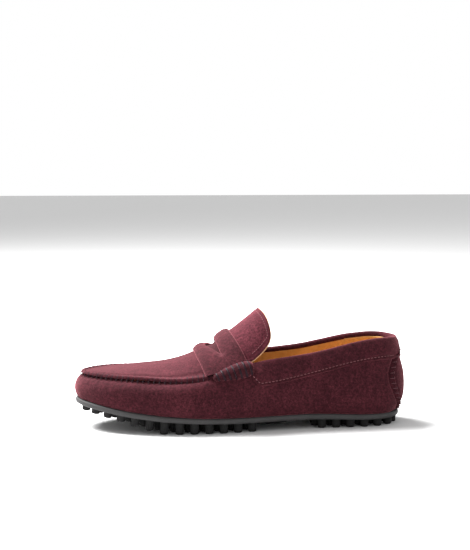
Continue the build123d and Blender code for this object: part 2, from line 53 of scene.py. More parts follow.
# ------------------------------------------------------------------ driving sizes
SUEDE_THICK = 1.6
LINING_THICK = 0.9
SEAM_PITCH = 4.6  # hand stitches of the moccasin seam
HEEL_PITCH = 4.4  # hand stitches of the heel patch
COLLAR_PITCH = 3.2  # machine stitches of the collar
STITCH_DROP = 15.6  # the collar's stitch row below the top line
T_PATCH = 0.95  # share of the wall's height that the heel patch covers: it runs up over the collar band
ROLL = {"lateral": (5.62, 6.62), "medial": (17.06, 16.06)}  # rear and front stations of the beef rolls
WRAPS = 7  # turns of cord round each beef roll
LEAN = 0.045  # each cord leans this share of the roll's length over half a turn
PLUG_ENDS = (5.75, 16.93)  # stations between which the plug's edge shows
LIP_WIDTH = 8.2  # how far in from the seam the plug's lip reaches
STRAP_MID = -1.5  # the strap's middle line, across the shoe
SLOT_REACH = 27.0  # half the length of the strap's slot
SOLE_PLATE = 4.8
STUD_PITCH = 12.4
STUDDED = ((7, 152), (203, 279))  # the two stretches of the sole that carry studs

# ------------------------------------------------------------------ the last (same stations as the CAD)
# each station: (d, y) at the sole, (d, y) at the top line, and how far the wall bulges low down and high up
STATIONS = [
    ((282.5, 0.0), (281.0, 0.0), (7.0, 4.6)),
    ((276.5, -17.5), (276.0, -13.5), (6.5, 4.6)),
    ((260.0, -28.5), (262.5, -22.5), (5.0, 4.2)),
    ((234.0, -32.0), (238.0, -27.5), (4.0, 3.6)),
    ((202.0, -33.0), (206.0, -31.5), (3.6, 3.4)),
    ((168.0, -38.0), (172.0, -35.5), (4.0, 3.8)),
    ((134.0, -45.0), (138.0, -39.5), (4.6, 5.0)),
    ((100.0, -48.0), (104.0, -41.0), (5.0, 6.0)),
    ((68.0, -45.0), (73.0, -37.5), (5.0, 6.0)),
    ((38.0, -36.5), (44.0, -29.5), (4.6, 5.4)),
    ((14.0, -21.5), (21.0, -17.5), (4.2, 4.8)),
    ((3.0, -3.5), (8.5, -3.0), (4.0, 4.5)),
    ((5.0, 14.5), (11.0, 11.5), (4.0, 4.5)),
    ((19.0, 30.0), (25.5, 24.5), (4.2, 4.8)),
    ((46.0, 41.5), (51.0, 34.5), (4.6, 5.4)),
    ((78.0, 45.0), (82.0, 38.0), (4.8, 5.8)),
    ((112.0, 41.5), (116.0, 37.0), (4.6, 5.4)),
    ((146.0, 34.0), (150.0, 34.5), (4.2, 4.6)),
    ((178.0, 30.0), (182.0, 31.5), (3.6, 3.6)),
    ((208.0, 30.0), (212.0, 29.0), (3.6, 3.4)),
    ((236.0, 31.5), (240.0, 26.5), (4.0, 3.6)),
    ((260.0, 28.0), (262.5, 21.5), (5.0, 4.2)),
    ((276.5, 17.0), (276.0, 13.0), (6.5, 4.6)),
]
COUNT = len(STATIONS)
LATERAL_FRONT, MEDIAL_FRONT = 5.5, 17.3  # stations at which the foot opening ends
LOW, HIGH = 0.30, 0.66  # shares of the wall's height at which the bulges are given


def smooth(xs, ys):
    """Natural cubic spline through a few points, as a function of an array."""
    xs, ys = np.array(xs, float), np.array(ys, float)
    h = np.diff(xs)
    slope = np.diff(ys) / h
    m = np.eye(len(xs))
    r = np.zeros(len(xs))
    for i in range(1, len(xs) - 1):
        m[i, i - 1:i + 2] = h[i - 1], 2 * (h[i - 1] + h[i]), h[i]
        r[i] = 6 * (slope[i] - slope[i - 1])
    k = np.linalg.solve(m, r)

    def value(x):
        x = np.asarray(x, float)
        i = np.clip(np.searchsorted(xs, x) - 1, 0, len(xs) - 2)
        a, b, g = xs[i + 1] - x, x - xs[i], h[i]
        return (k[i] * a**3 + k[i + 1] * b**3) / (6 * g) + (ys[i] / g - k[i] * g / 6) * a \
            + (ys[i + 1] / g - k[i + 1] * g / 6) * b

    return value


def ring(values):
    """Closed curve through one value at each station."""
    wrap = 6
    values = list(values)
    f = smooth(range(-wrap, len(values) + wrap + 1), values[-wrap:] + values + values[:wrap + 1])
    return lambda s: f(np.mod(s, len(values)))


def step(x, a, b):
    """0 below a, 1 above b, smooth between."""
    u = np.clip((np.asarray(x, float) - a) / (b - a), 0, 1)
    return u * u * (3 - 2 * u)


def bell(x, centre, width):
    return np.exp(-((np.asarray(x, float) - centre) / width) ** 2)


sole_top = smooth([-5, 20, 40, 60, 80, 100, 130, 160, 190, 220, 250, 290],
                  [27.0, 23.2, 19.8, 17.2, 15.2, 13.9, 12.8, 12.6, 12.9, 12.4, 11.2, 11.4])
instep_height = smooth([0, 16, 40, 65, 90, 110, 135, 158, 180],
                       [47.5, 48.6, 51.2, 54.2, 58.5, 67.0, 82.5, 100.5, 118.0])
instep_curl = smooth([0, 20, 50, 90, 105, 120, 138, 150, 165, 180],
                     [0.002, 0.003, 0.0048, 0.008, 0.0107, 0.015, 0.0205, 0.027, 0.0385, 0.054])
instep_centre = smooth([0, 50, 100, 150, 200], [4.0, 2.5, -1.0, -2.0, -1.5])
topline_height = smooth([150, 172, 206, 238, 262.5, 281], [60.5, 61.5, 66.0, 72.8, 76.0, 75.6])
# half the heel patch's width at each height
leaf = smooth([9, 12, 15, 20, 26, 33, 40, 46, 52, 58, 64, 68, 72, 80],
              [7.5, 9.0, 11.5, 17.0, 22.0, 25.0, 26.0, 25.2, 22.5, 18.0, 11.5, 6.5, 2.2, 0.0])


def instep(d, y):
    return instep_height(d) - instep_curl(d) * (y - instep_centre(d)) ** 2


feather_d = ring(f[0] for f, _, _ in STATIONS)
feather_y = ring(f[1] for f, _, _ in STATIONS)
top_d = ring(t[0] for _, t, _ in STATIONS)
top_y = ring(t[1] for _, t, _ in STATIONS)
top_z = ring([float(topline_height(t[0])) if i < LATERAL_FRONT or i > MEDIAL_FRONT else float(instep(*t))
              for i, (_, t, _) in enumerate(STATIONS)])
bulge_low = ring(b[0] for _, _, b in STATIONS)
bulge_high = ring(b[1] for _, _, b in STATIONS)


def unit(v):
    """Vectors along the last axis, brought to length 1."""
    return v / np.maximum(np.linalg.norm(v, axis=-1, keepdims=True), 1e-9)


def place(d, y, z):
    """Points in the record's frame from distance behind the toe, distance from the middle and height."""
    d, y, z = np.broadcast_arrays(np.asarray(d, float), np.asarray(y, float), np.asarray(z, float))
    return np.stack([X_TOE + d, Y_MID + y, z], -1)


def outward(s):
    """Level direction out of the sole's outline at station s."""
    e = 1e-3
    dx, dy = feather_d(s + e) - feather_d(s - e), feather_y(s + e) - feather_y(s - e)
    return unit(np.stack([-dy, dx, np.zeros_like(dx)], -1))


def wall(s, t):
    """The wall's outer face: station s, share of the height t."""
    s, t = np.broadcast_arrays(np.asarray(s, float), np.asarray(t, float))
    foot = place(feather_d(s), feather_y(s), sole_top(feather_d(s)))
    head = place(top_d(s), top_y(s), top_z(s))
    n = outward(s)
    low = foot + (head - foot) * LOW + n * bulge_low(s)[..., None]
    high = foot + (head - foot) * HIGH + n * bulge_high(s)[..., None]
    knots = (0.0, LOW, HIGH, 1.0)
    out = 0
    for i, p in enumerate((foot, low, high, head)):
        w = 1.0
        for j, k in enumerate(knots):
            if j != i:
                w = w * (t - k) / (knots[i] - k)
        out = out + p * w[..., None]
    return out


def wall_normal(s, t):
    e = 2e-3
    along = wall(s + e, t) - wall(s - e, t)
    up = wall(s, t + e) - wall(s, t - e)
    return unit(np.cross(up, along))


def wall_off(s, t, out):
    """Points this many mm out from the wall's face."""
    return wall(s, t) + wall_normal(s, t) * np.asarray(out, float)[..., None]


def wall_height(s):
    return top_z(s) - sole_top(feather_d(s))


def mm_per_station(s, t):
    e = 0.02
    return np.linalg.norm(wall(s + e, t) - wall(s - e, t), axis=-1) / (2 * e)


def drop_t(s, drop):
    """t of the point this many mm below the top line."""
    return 1 - drop / wall_height(s)


def instep_off(d, y, lift):
    """Points this many mm above the instep's surface."""
    d, y = np.broadcast_arrays(np.asarray(d, float), np.asarray(y, float))
    e = 1e-2
    sd = (instep(d + e, y) - instep(d - e, y)) / (2 * e)
    sy = (instep(d, y + e) - instep(d, y - e)) / (2 * e)
    up = unit(np.stack([-sd, -sy, np.ones_like(sd)], -1))
    return place(d, y, instep(d, y)) + up * np.asarray(lift, float)[..., None]


# arc length along the top line, for evenly spaced stitches and puckers
ARC_STATIONS = np.linspace(0, COUNT, 2301)
ARC_POINTS = place(top_d(ARC_STATIONS), top_y(ARC_STATIONS), top_z(ARC_STATIONS))


def lengths_along(points):
    """Distance along a polyline at each of its points."""
    return np.concatenate([[0], np.cumsum(np.linalg.norm(np.diff(points, axis=0), axis=1))])


ARC_LENGTHS = lengths_along(ARC_POINTS)


def arc(s):
    return np.interp(np.mod(s, COUNT), ARC_STATIONS, ARC_LENGTHS)


def s_at(length):
    return np.interp(length, ARC_LENGTHS, ARC_STATIONS)


def stitch_wave(length, pitch):
    """1 at each stitch and 0 halfway between two."""
    return 0.5 + 0.5 * np.cos(2 * math.pi * length / pitch)


def distance_to(points, cloud):
    """Distance from each point to the nearest of a cloud of points, worked out in batches."""
    flat = points.reshape(-1, 3)
    distance = np.empty(len(flat))
    batch = 2000
    for i in range(0, len(flat), batch):
        gaps = flat[i:i + batch, None, :] - cloud[None]
        distance[i:i + batch] = np.sqrt((gaps ** 2).sum(-1)).min(1)
    return distance.reshape(points.shape[:-1])


def waves(points, size, amount, seed):
    """A gentle, repeatable unevenness from a few crossed sine waves."""
    r = np.random.default_rng(seed)
    total = 0
    for i in range(9):
        k = r.normal(size=3)
        k = k / np.linalg.norm(k) * 2 * math.pi / (size * r.uniform(0.6, 1.7))
        total = total + np.sin(points @ k + r.uniform(0, 6.28))
    return total / 3.2 * amount


# ------------------------------------------------------------------ mesh helpers
def make(name, verts, faces, materials, index=None, weld=0.0):
    """A smooth-shaded object from points in mm. Points closer than weld mm are merged."""
    me = bpy.data.meshes.new(name)
    me.from_pydata([tuple(v) for v in np.asarray(verts, float) * 0.001], [], faces)
    for m in materials:
        me.materials.append(m)
    ob = bpy.data.objects.new(name, me)
    bpy.context.scene.collection.objects.link(ob)
    if index is not None:
        me.polygons.foreach_set("material_index", np.asarray(index, np.int32))
    if weld:
        bm = bmesh.new()
        bm.from_mesh(me)
        bmesh.ops.remove_doubles(bm, verts=bm.verts, dist=weld * 0.001)
        bmesh.ops.recalc_face_normals(bm, faces=bm.faces)
        bm.to_mesh(me)
        bm.free()
    me.polygons.foreach_set("use_smooth", [True] * len(me.polygons))
    me.update()
    return ob


def grid_faces(nu, nv, wrap_u=False, wrap_v=False, start=0):
    """Faces of a grid stored u-major."""
    us = np.arange(nu if wrap_u else nu - 1)
    vs = np.arange(nv if wrap_v else nv - 1)
    u, v = np.meshgrid(us, vs, indexing="ij")
    u2, v2 = (u + 1) % nu, (v + 1) % nv
    return np.stack([u * nv + v, u2 * nv + v, u2 * nv + v2, u * nv + v2], -1).reshape(-1, 4) + start


def end_caps(n, sides, start=0):
    """The two end faces of a tube of n rings."""
    last = start + (n - 1) * sides
    return [list(range(start, start + sides))[::-1], list(range(last, last + sides))]


def grid(name, points, materials, wrap_u=False, wrap_v=False, flip=False, **kw):
    """An object from a two-way array of points. flip turns its faces over."""
    nu, nv = points.shape[:2]
    f = grid_faces(nu, nv, wrap_u, wrap_v)
    if flip:
        f = f[:, ::-1]
    return make(name, points.reshape(-1, 3), f.tolist(), materials, **kw)


def shell(ob, thickness):
    """Gives a surface its thickness, behind its face."""
    m = ob.modifiers.new("thickness", "SOLIDIFY")
    m.thickness = thickness * 0.001
    m.offset = -1.0
    m.use_even_offset = False
    return ob


def tubes(name, paths, radius, material, sides=8, twist=0.0, plies=0):
    """Short threads in one mesh, thinner at both ends: each path is an array of points."""
    verts, faces, base = [], [], 0
    for path in paths:
        path = np.asarray(path, float)
        n = len(path)
        run = unit(np.gradient(path, axis=0))
        side = np.array([0.0, 0.0, 1.0]) if abs(run[0][2]) < 0.9 else np.array([1.0, 0, 0])
        a = unit(np.cross(run, side))
        b = np.cross(run, a)
        lengths = lengths_along(path)
        for i in range(n):
            r = radius * 0.45 if i in (0, n - 1) else radius
            for j in range(sides):
                w = 2 * math.pi * j / sides
                groove = 0.86 + 0.14 * math.cos(plies * (w - twist * lengths[i])) if plies else 1.0
                verts.append(path[i] + (a[i] * math.cos(w) + b[i] * math.sin(w)) * r * groove)
        faces += grid_faces(n, sides, wrap_v=True, start=base).tolist()
        faces += end_caps(n, sides, base)
        base += n * sides
    return make(name, verts, faces, [material])


# ------------------------------------------------------------------ materials
class Nodes:
    """A material's node tree, with short calls for the few nodes used here."""

    def __init__(self, name):
        self.m = bpy.data.materials.new(name)
        self.m.use_nodes = True
        self.t = self.m.node_tree
        self.bsdf = self.t.nodes["Principled BSDF"]
        self.coord = self.t.nodes.new("ShaderNodeTexCoord")

    def feed(self, sock, value):
        """Links an output, or sets a number or a colour."""
        if hasattr(value, "is_linked"):
            self.t.links.new(value, sock)
        elif isinstance(value, (int, float)):
            sock.default_value = value
        else:
            sock.default_value = (*value, 1)

    def noise(self, scale, detail=4.0, rough=0.6, distortion=0.0):
        n = self.t.nodes.new("ShaderNodeTexNoise")
        n.inputs["Scale"].default_value = scale
        n.inputs["Detail"].default_value = detail
        n.inputs["Roughness"].default_value = rough
        n.inputs["Distortion"].default_value = distortion
        self.t.links.new(self.coord.outputs["Object"], n.inputs["Vector"])
        return n.outputs["Fac"]

    def voronoi(self, scale):
        n = self.t.nodes.new("ShaderNodeTexVoronoi")
        n.inputs["Scale"].default_value = scale
        self.t.links.new(self.coord.outputs["Object"], n.inputs["Vector"])
        return n.outputs["Distance"]

    def ramp(self, fac, stops):
        n = self.t.nodes.new("ShaderNodeValToRGB")
        self.t.links.new(fac, n.inputs["Fac"])
        e = n.color_ramp.elements
        while len(e) < len(stops):
            e.new(0.5)
        for el, (pos, col) in zip(e, stops):
            el.position = pos
            el.color = (*col, 1)
        return n.outputs["Color"]

    def mix(self, fac, a, b, mode="MIX"):
        n = self.t.nodes.new("ShaderNodeMix")
        n.data_type = "RGBA"
        n.blend_type = mode
        for sock, value in ((n.inputs["Factor"], fac), (n.inputs[6], a), (n.inputs[7], b)):
            self.feed(sock, value)
        return n.outputs[2]

    def math(self, op, *values):
        n = self.t.nodes.new("ShaderNodeMath")
        n.operation = op
        for sock, value in zip(n.inputs, values):
            self.feed(sock, value)
        return n.outputs[0]

    def bump(self, layers, strength):
        """Bump nodes in a chain, one for each pair of a height and its distance in metres."""
        previous = None
        for height, distance in layers:
            n = self.t.nodes.new("ShaderNodeBump")
            n.inputs["Strength"].default_value = strength
            n.inputs["Distance"].default_value = distance
            self.t.links.new(height, n.inputs["Height"])
            if previous is not None:
                self.t.links.new(previous, n.inputs["Normal"])
            previous = n.outputs["Normal"]
        self.t.links.new(previous, self.bsdf.inputs["Normal"])

    def set(self, **sockets):
        for name, value in sockets.items():
            self.feed(self.bsdf.inputs[name.replace("_", " ")], value)


def suede(name, tone=1.0):
    n = Nodes(name)
    big = n.noise(30, 4, 0.55, 0.8)
    mid = n.noise(190, 5, 0.7, 0.4)
    small = n.noise(520, 4, 0.7)
    fine = n.noise(1700, 3, 0.7)
    speck = n.noise(4200, 2, 0.6)
    dark = (0.0175 * tone, 0.0036 * tone, 0.0055 * tone)
    base = (0.0315 * tone, 0.0064 * tone, 0.0092 * tone)
    light = (0.055 * tone, 0.0125 * tone, 0.0165 * tone)
    c = n.mix(0.5, n.ramp(big, [(0.28, dark), (0.5, base), (0.74, light)]),
              n.ramp(mid, [(0.30, dark), (0.52, base), (0.72, light)]))
    grains = ((small, 0.9, 0.50, 1.56), (fine, 0.9, 0.50, 1.52), (speck, 0.6, 0.75, 1.25))
    for fac, amount, low, high in grains:
        grain = n.ramp(fac, [(0.34, (low,) * 3), (0.66, (high, high * 0.98, high))])
        c = n.mix(amount, c, grain, "MULTIPLY")
    n.set(Base_Color=c, Roughness=0.97, Specular_IOR_Level=0.08)
    n.set(Sheen_Weight=0.26, Sheen_Roughness=0.42, Sheen_Tint=(0.95, 0.30, 0.35))
    n.bump([(mid, 0.00045), (small, 0.00030), (fine, 0.00018), (speck, 0.00008)], 0.7)
    return n.m


def smooth_leather(name, dark, base, light):
    n = Nodes(name)
    big = n.noise(30, 3, 0.5, 0.4)
    mid = n.noise(240, 5, 0.6)
    pores = n.voronoi(1300)
    c = n.mix(0.5, n.ramp(big, [(0.35, dark), (0.5, base), (0.68, light)]),
              n.ramp(mid, [(0.3, dark), (0.52, base), (0.75, light)]))
    n.set(Base_Color=c, Roughness=n.math("MULTIPLY_ADD", mid, 0.25, 0.42), Specular_IOR_Level=0.35)
    n.bump([(mid, 0.00012), (pores, 0.00009)], 0.5)
    return n.m


def rubber(name, level, rough=0.62):
    n = Nodes(name)
    big = n.noise(60, 4, 0.6)
    fine = n.noise(1100, 3, 0.6)
    a = tuple(level * k for k in (0.80, 0.77, 0.78))
    b = tuple(level * k for k in (1.18, 1.13, 1.14))
    c = n.mix(0.5, n.ramp(big, [(0.35, a), (0.65, b)]), n.ramp(fine, [(0.3, a), (0.7, b)]))
    n.set(Base_Color=c, Roughness=rough, Specular_IOR_Level=0.22)
    n.bump([(big, 0.00015), (fine, 0.00007)], 0.5)
    return n.m


def thread_mat(name, col, rough):
    n = Nodes(name)
    fine = n.noise(2600, 3, 0.6)
    c = n.ramp(fine, [(0.3, tuple(k * 0.6 for k in col)), (0.7, tuple(k * 1.5 for k in col))])
    n.set(Base_Color=c, Roughness=rough, Specular_IOR_Level=0.10)
    n.bump([(fine, 0.00012)], 0.6)
    return n.m


SUEDE = suede("burgundy suede")
# a copy of the suede at half its tone, painted shade for the strap's slot
SUEDE_SLOT_PAINTED_SHADE = suede("burgundy suede, painted shade in the slot", 0.5)
# a darker copy of the suede, painted shade for the beef rolls
SUEDE_ROLL_PAINTED_SHADE = suede("burgundy suede darkened for painted shade, beef rolls", 0.72)
# a lighter copy of the suede, painted light where the tongue faces the lamp
SUEDE_TONGUE_PAINTED_LIGHT = suede("burgundy suede, tongue, painted light", 1.55)
# a darker copy of the suede, painted shade for the strap
SUEDE_STRAP_PAINTED_SHADE = suede("burgundy suede darkened for painted shade, strap", 0.86)
TAN = smooth_leather("tan lining leather", (0.33, 0.150, 0.036), (0.45, 0.225, 0.062), (0.55, 0.29, 0.090))
TAN_EDGE = smooth_leather("tan cut edge", (0.46, 0.24, 0.12), (0.60, 0.34, 0.18), (0.70, 0.42, 0.25))
RUBBER_RIM = rubber("grey rubber rim", 0.034)
# the grey rubber made darker, painted shade for the studs and the sole's underside
RUBBER_PAINTED_SHADE = rubber("grey rubber darkened for painted shade under the sole", 0.0075, 0.8)
THREAD = thread_mat("waxed thread", (0.014, 0.006, 0.009), 0.7)
THREAD_LIGHT = thread_mat("machine thread", (0.150, 0.060, 0.066), 0.75)
THREAD_DULL = thread_mat("seam thread", (0.085, 0.034, 0.040), 0.75)
CORD_MAT = thread_mat("beef roll cord", (0.012, 0.0045, 0.0075), 0.6)
BOARD = thread_mat("fibreboard", (0.30, 0.20, 0.12), 0.8)
FOAM = thread_mat("foam", (0.45, 0.40, 0.32), 0.9)


def add_piece(ob, body, replaced=()):
    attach(ob, body)
    if replaced:
        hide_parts(*replaced)
    return ob


# ------------------------------------------------------------------ the wall and the heel patch
def leaf_edge(t, side):
    """Station of the heel patch's edge at share t of the height."""
    t = np.asarray(t, float)
    near, far = np.zeros_like(t), np.full_like(t, 2.6)
    for _ in range(30):
        s = (near + far) / 2
        p = wall(np.mod(side * s, COUNT), t)
        inside = np.abs(p[..., 1] - Y_MID) < np.maximum(leaf(p[..., 2]), 0.0)
        near, far = np.where(inside, s, near), np.where(inside, far, s)
    return near


def heel_ripple(p):
    """The gathers between the heel seam's stitches, and 1 below the patch's tip, fading to 0 in it."""
    z = p[..., 2]
    return np.cos(2 * math.pi * z / HEEL_PITCH), 1 - step(z, 59, 67)


def front_weight(s):
    """1 where the moccasin seam is, 0 behind the beef rolls."""
    return step(s, 5.6, 6.2) * (1 - step(s, 16.5, 17.1))


def collar_sag(s):
    """The collar's stitch row dips towards the front, then curves up into the beef roll."""
    s = np.mod(np.asarray(s, float) + COUNT / 2, COUNT) - COUNT / 2
    dip = 2.4 * bell(s, 5.1, 0.8) + 2.4 * bell(s, 17.6 - COUNT, 0.8)
    return dip - 9.0 * step(s, 5.40, 5.74) - 9.0 * (1 - step(s, 16.96 - COUNT, 17.30 - COUNT))


def wall_suede():
    nv, nu = 84, 1000
    v = np.linspace(0, 1, nv) ** 0.92
    u = np.linspace(0, 1, nu)
    t_heel = v * 0.74
    s0, s1 = leaf_edge(t_heel, 1), COUNT - leaf_edge(t_heel, -1)
    s = s0[None, :] + (s1 - s0)[None, :] * u[:, None]
    fw = front_weight(s)
    # behind the beef rolls the wall ends under the collar band
    under_band = drop_t(s, 16.6 + collar_sag(s))
    t_top = under_band + (1 - under_band) * step(s, 5.36, 5.6) * (1 - step(s, 17.1, 17.34))
    t = v[None, :] * t_top
    h = wall_height(s)
    p = wall(s, t)
    n = wall_normal(s, t)
    # the moccasin seam is pulled in and gathered at each stitch, and the toe's puckers reach further down
    under_seam = (1 - t) * h
    gather = stitch_wave(arc(s), SEAM_PITCH)
    toe = bell(s, 11.35, 2.2) * fw
    out = -2.5 * fw * bell(under_seam, 0, 3.0) + (0.55 - 0.8 * toe) * fw * bell(under_seam, 8.0, 4.0)
    out = out - 0.42 * fw * gather * np.exp(-under_seam / 3.2)
    out = out - 0.18 * toe * gather * np.exp(-under_seam / 4.5)
    # ridge of the heel seam, gathered between its stitches and fading towards its tip
    edge = np.minimum(s - s0[None, :], s1[None, :] - s) * mm_per_station(s, t)
    ripple, tip = heel_ripple(p)
    ridge = 1.5 * (1 + 0.30 * ripple) * bell(edge, 0.5, 1.3) - 0.9 * bell(edge, 3.8, 1.3)
    out = out + tip * ridge - 0.5 * np.exp(-edge / 9.0)
    out = out + 0.22 * tip * ripple * np.exp(-edge / 5.0)
    # the foot tucks in over the sole
    out = out - 0.55 * np.exp(-(t * h) / 1.1)
    p = p + n * (out + waves(p, 34, 0.26, 3) + waves(p, 13, 0.08, 5))[..., None]
    return shell(grid("wall_suede", p, [SUEDE], flip=True), SUEDE_THICK)


def over_band(drop):
    """How far the patch is lifted where it lies over the collar band."""
    return np.interp(drop, [2.0, 4.0, 7.5, 11.5, 14.3, 16.5, 18.8], [1.7, 2.1, 2.3, 2.1, 1.6, 1.2, 0.0])


def heel_patch():
    nv, nu = 84, 90
    t = np.linspace(0, 1, nv) * T_PATCH
    s0, s1 = -leaf_edge(t, -1), leaf_edge(t, 1)
    u = np.linspace(0, 1, nu)
    s = s0[None, :] + (s1 - s0)[None, :] * u[:, None]
    t = np.broadcast_to(t[None, :], s.shape)
    p, n = wall(s, t), wall_normal(s, t)
    edge = np.minimum(s - s0[None, :], s1[None, :] - s) * mm_per_station(s, t)
    ripple, tip = heel_ripple(p)
    ridge = 1.5 * (1 + 0.30 * ripple) * bell(edge, 0.5, 1.3) - 0.5 * bell(edge, 3.4, 1.3)
    out = tip * ridge - 0.2 + 0.3 * step(edge, 3, 11)
    out = out + 0.2 * ripple * np.exp(-edge / 4.5)
    out = out - 0.5 * np.exp(-(t * wall_height(s)) / 1.1) + over_band((1 - t) * wall_height(s))
    p = p + n * (out + waves(p, 25, 0.2, 8))[..., None]
    return shell(grid("heel_patch_suede", p, [SUEDE], flip=True), SUEDE_THICK)


# ------------------------------------------------------------------ the plug, with its raised seam
def strap_front(y):
    return 103.0 + 5.5 * ((y - STRAP_MID) / 34.0) ** 2


def strap_rear(y):
    return 134.0 + 12.0 * ((y - STRAP_MID) / 36.5) ** 2


def slot_line(y, side):
    """The slot's front edge (side -1), middle line (0) or rear edge (1)."""
    share = np.clip(np.abs(y - STRAP_MID) / SLOT_REACH, 0, 1)
    return 117.3 + 7.7 * ((y - STRAP_MID) / SLOT_REACH) ** 2 + side * 4.3 * (1 - share**1.6)


def plug_spine(s):
    """The point of the plug's middle line that faces station s."""
    d = np.clip(top_d(s), 46.0, 124.5)
    return d, instep_centre(d)


def plug_rays(count):
    """Lines from the plug's middle line to its edge: where they start, their spans and their length."""
    s = np.linspace(*PLUG_ENDS, count)
    edge_d, edge_y = top_d(s), top_y(s)
    mid_d, mid_y = plug_spine(s)
    return s, mid_d, mid_y, edge_d - mid_d, edge_y - mid_y, np.hypot(edge_d - mid_d, edge_y - mid_y)


def plug_suede():
    s, mid_d, mid_y, span_d, span_y, reach = plug_rays(760)
    gather = stitch_wave(arc(s), SEAM_PITCH)
    # the lip at the seam has close rows, at these distances in from the seam, and the rest wider ones
    lip_rows = [-2.5, -2.3, -1.9, -1.5, -1.0, -0.5, 0, 0.5, 1.0, 1.5, 2.0, 2.6, 3.2, 3.8, 4.4, 5.2, 6.0, 7.0]
    lip_rows.append(LIP_WIDTH)
    inner_rows = np.linspace(1, 0, 46)[1:] ** 1.15
    shares, lifts = [], []
    for inset in lip_rows:
        lip = 1.15 * bell(inset, -0.5, 1.4) - 0.55 * bell(inset, 3.6, 1.7) - 0.9 * step(-inset, 1.85, 2.55)
        shares.append(1 - inset / reach)
        lifts.append(lip + (0.16 - 0.34 * gather) * np.exp(-abs(inset) / 2.2))
    for k in inner_rows:
        shares.append((1 - LIP_WIDTH / reach) * k)
        lifts.append(np.zeros_like(reach))
    share, lift = np.stack(shares, 1), np.stack(lifts, 1)
    d = mid_d[:, None] + span_d[:, None] * share
    y = mid_y[:, None] + span_y[:, None] * share
    # the leather sinks a little in the strap's slot
    slot = bell(d, slot_line(y, 0), 5.0) * (1 - step(np.abs(y - STRAP_MID), 20, 27))
    p = instep_off(d, y, lift - 2.2 * slot)
    p = p + waves(p, 38, 0.25, 11)[..., None] * np.array([0, 0, 1.0])
    # the plug's faces deep in the slot take the half-tone suede: painted shade
    shade = (slot[:-1, :-1] > 0.55).astype(int).reshape(-1)
    return shell(grid("plug_suede", p, [SUEDE, SUEDE_SLOT_PAINTED_SHADE], flip=True, index=shade, weld=0.02), 1.5)


add_piece(wall_suede(), "shoe", ["vamp_wall"])
add_piece(heel_patch(), "shoe", ["heel_patch"])
add_piece(plug_suede(), "shoe", ["plug"])


# ------------------------------------------------------------------ the padded collar
COLLAR_PROFILE = [  # outward, drop below the top line
    (-0.5, 18.4), (0.50, 18.1), (1.10, 17.4), (1.10, 16.6), (0.45, 15.6), (1.50, 14.3),
    (2.05, 11.5), (2.1, 7.5), (1.8, 4.0), (1.35, 1.3), (0.4, -0.25), (-1.1, -0.6),
    (-2.4, -0.1), (-3.2, 1.0), (-3.5, 2.2), (-3.3, 3.4), (-2.7, 3.8),
]


def collar():
    k = np.arange(len(COLLAR_PROFILE))
    w = np.linspace(0, len(k) - 1, 78)
    out_line = smooth(k, [out for out, _ in COLLAR_PROFILE])(w)
    drop_line = smooth(k, [drop for _, drop in COLLAR_PROFILE])(w)
    start, end = 17.02 - COUNT, 5.66
    s, out = np.meshgrid(np.linspace(start, end, 900), out_line, indexing="ij")
    drop = drop_line[None, :] + collar_sag(s) * step(drop_line[None, :], 3, 15)
    row = STITCH_DROP + collar_sag(s)
    # the stitch row pulls the suede in at every stitch
    along = arc(s)
    out = out - 0.30 * stitch_wave(along, COLLAR_PITCH) * bell(drop, row, 0.9) * (out > -0.5)
    # creases of a soft rolled edge, more of them where the heel turns
    crease = waves(np.stack([along, drop * 0.35, np.zeros_like(drop)], -1), 15, 0.18, 21)
    out = out + crease * step(-drop, -12, -2) * (1 + bell(s, 0, 2.2))
    # the front ends flatten into the beef rolls
    full = np.minimum(step(s, start, 17.3 - COUNT), 1 - step(s, 5.35, end))
    out = np.where(out > 0, out * (0.35 + 0.65 * full), out)
    t = drop_t(s, drop)
    p = wall_off(s, t, out)
    uneven = waves(p, 30, 0.25, 13) * (1 - bell(drop, row, 2.6))
    p = p + wall_normal(s, np.clip(t, 0, 1)) * uneven[..., None]
    return shell(grid("collar_suede", p, [SUEDE], flip=True), 0.9)


collar_piece = add_piece(collar(), "shoe", ["collar_band_lateral", "collar_band_medial", "collar_padding"])


# ------------------------------------------------------------------ tan lining
def lining():
    s, v = np.meshgrid(np.linspace(0, COUNT, 601)[:-1], np.linspace(0, 1, 40), indexing="ij")
    fw = step(s, 5.2, 5.9) * (1 - step(s, 16.9, 17.5))
    t = v * drop_t(s, 3.0 * (1 - fw) + 3.4 * fw)
    # the heel grip is one layer more, and ends in a small step
    from_heel = np.minimum(s, COUNT - s)
    out = -2.1 - 0.75 * (1 - step(from_heel, 2.93, 3.0)) - 0.25 * bell(from_heel, 3.08, 0.03)
    p = wall_off(s, t, out)
    p = p + wall_normal(s, t) * waves(p, 22, 0.22, 31)[..., None]
    return shell(grid("lining_leather", p, [TAN], wrap_u=True, flip=True), LINING_THICK)


add_piece(lining(), "shoe",
          ["quarter_lining_lateral", "quarter_lining_medial", "heel_grip", "vamp_lining", "heel_counter"])


def plug_back():
    _, mid_d, mid_y, span_d, span_y, reach = plug_rays(300)
    share = (1 - 2.6 / reach)[:, None] * np.linspace(1, 0, 24)[None, :]
    d = mid_d[:, None] + span_d[:, None] * share
    y = mid_y[:, None] + span_y[:, None] * share
    return shell(grid("plug_lining_leather", instep_off(d, y, -2.1 + 0 * d), [TAN], weld=0.02), 0.8)


add_piece(plug_back(), "shoe", ["plug_lining"])


# ------------------------------------------------------------------ insole
def sole_spine(d, front, rear):
    """The point of the sole's middle line that faces an edge point at d."""
    d = np.clip(d, front, rear)
    return d, np.interp(d, [0, 60, 150, 280], [3, -1, -4, -1])


